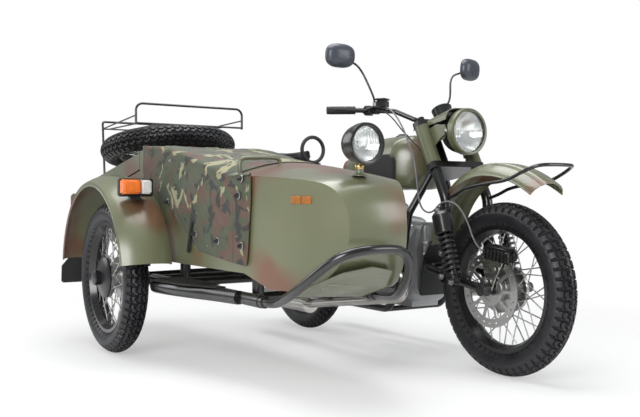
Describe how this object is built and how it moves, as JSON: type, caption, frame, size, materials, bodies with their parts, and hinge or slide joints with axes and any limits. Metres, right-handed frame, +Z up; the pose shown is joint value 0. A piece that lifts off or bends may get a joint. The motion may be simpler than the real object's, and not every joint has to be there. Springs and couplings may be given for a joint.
{
  "type": "sidecar motorcycle",
  "caption": "Boxer twin motorcycle with a leading link fork and a military sidecar that carries a spare wheel, rack, spotlight and canvas cover.",
  "frame": {"origin": "on the ground under the middle of the whole vehicle's box", "axes": "+X forward, +Y to the motorcycle's left, +Z up; the sidecar is on the -Y side"},
  "size_m": [2.4849, 1.7, 1.3788],
  "materials": {
    "olive_paint": "satin olive paint",
    "black_paint": "satin black paint",
    "engine_alloy": "grey cast alloy",
    "bright_steel": "brushed",
    "tyre_rubber": "matt",
    "black_rubber": "matt",
    "dark_plastic": "grained",
    "black_leather": "grained",
    "camo_canvas": "printed canvas",
    "clear_glass": "clear",
    "lamp_plastic": "orange lens"
  },
  "bodies": {
    "chassis": {"bike_frame": "black_paint", "cylinders": "engine_alloy", "engine_block": "engine_alloy", "exhaust": "bright_steel", "fender_lamps": "lamp_plastic", "fuel_tank": "olive_paint", "grab_rail": "olive_paint", "grab_ring": "black_rubber", "intakes": "engine_alloy", "knee_pads": "black_rubber", "nose_bumper": "olive_paint", "pillion_saddle": "black_leather", "rear_fender": "olive_paint", "rear_shocks": "black_paint", "rear_swingarm": "black_paint", "rider_saddle": "black_leather", "side_marker": "lamp_plastic", "sidecar_chassis": "black_paint", "sidecar_driveshaft": "black_paint", "sidecar_fender": "olive_paint", "sidecar_mudflap": "black_rubber", "sidecar_shock": "black_paint", "sidecar_struts": "black_paint", "sidecar_swingarm": "black_paint", "sidecar_tub": "olive_paint", "spotlight": "olive_paint", "spotlight_lens": "clear_glass", "tail_lamp": "lamp_plastic", "tonneau_cover": "camo_canvas"},
    "steering": {"fork_legs": "olive_paint", "fork_link": "black_paint", "fork_shocks": "black_paint", "front_fender": "olive_paint", "fender_hoop": "black_paint", "front_mudflap": "black_rubber", "headlamp": "olive_paint", "headlamp_lens": "clear_glass", "nacelle": "olive_paint", "instrument": "black_paint", "handlebar": "black_paint", "hand_controls": "black_rubber", "mirrors": "dark_plastic", "front_caliper": "engine_alloy"},
    "front_wheel": {"front_tyre": "tyre_rubber", "front_rim": "black_paint", "front_hub": "bright_steel"},
    "rear_wheel": {"rear_tyre": "tyre_rubber", "rear_rim": "black_paint", "rear_hub": "bright_steel"},
    "sidecar_wheel": {"sidecar_tyre": "tyre_rubber", "sidecar_rim": "black_paint", "sidecar_hub": "bright_steel"},
    "trunk_lid": {"trunk_lid": "olive_paint", "spare_carrier": "black_paint", "spare_tyre": "tyre_rubber", "spare_rim": "black_paint", "spare_hub": "bright_steel", "luggage_rack": "black_paint"}
  },
  "joints": [
    {"name": "steering_turn", "type": "hinge", "parent": "chassis", "child": "steering", "pos_m": [0.49754, 0.4, 0.9], "axis": [-0.454, 0, 0.891], "range_deg": [-35, 35]},
    {"name": "front_wheel_spin", "type": "hinge", "parent": "steering", "child": "front_wheel", "pos_m": [0.89754, 0.4, 0.345], "axis": [0, 1, 0], "continuous": true},
    {"name": "rear_wheel_spin", "type": "hinge", "parent": "chassis", "child": "rear_wheel", "pos_m": [-0.60246, 0.4, 0.345], "axis": [0, 1, 0], "continuous": true},
    {"name": "sidecar_wheel_spin", "type": "hinge", "parent": "chassis", "child": "sidecar_wheel", "pos_m": [-0.45246, -0.74, 0.345], "axis": [0, 1, 0], "continuous": true},
    {"name": "trunk_lid_hinge", "type": "hinge", "parent": "chassis", "child": "trunk_lid", "pos_m": [-0.49446, -0.32, 0.952], "axis": [0, 1, 0], "range_deg": [0, 45]}
  ]
}
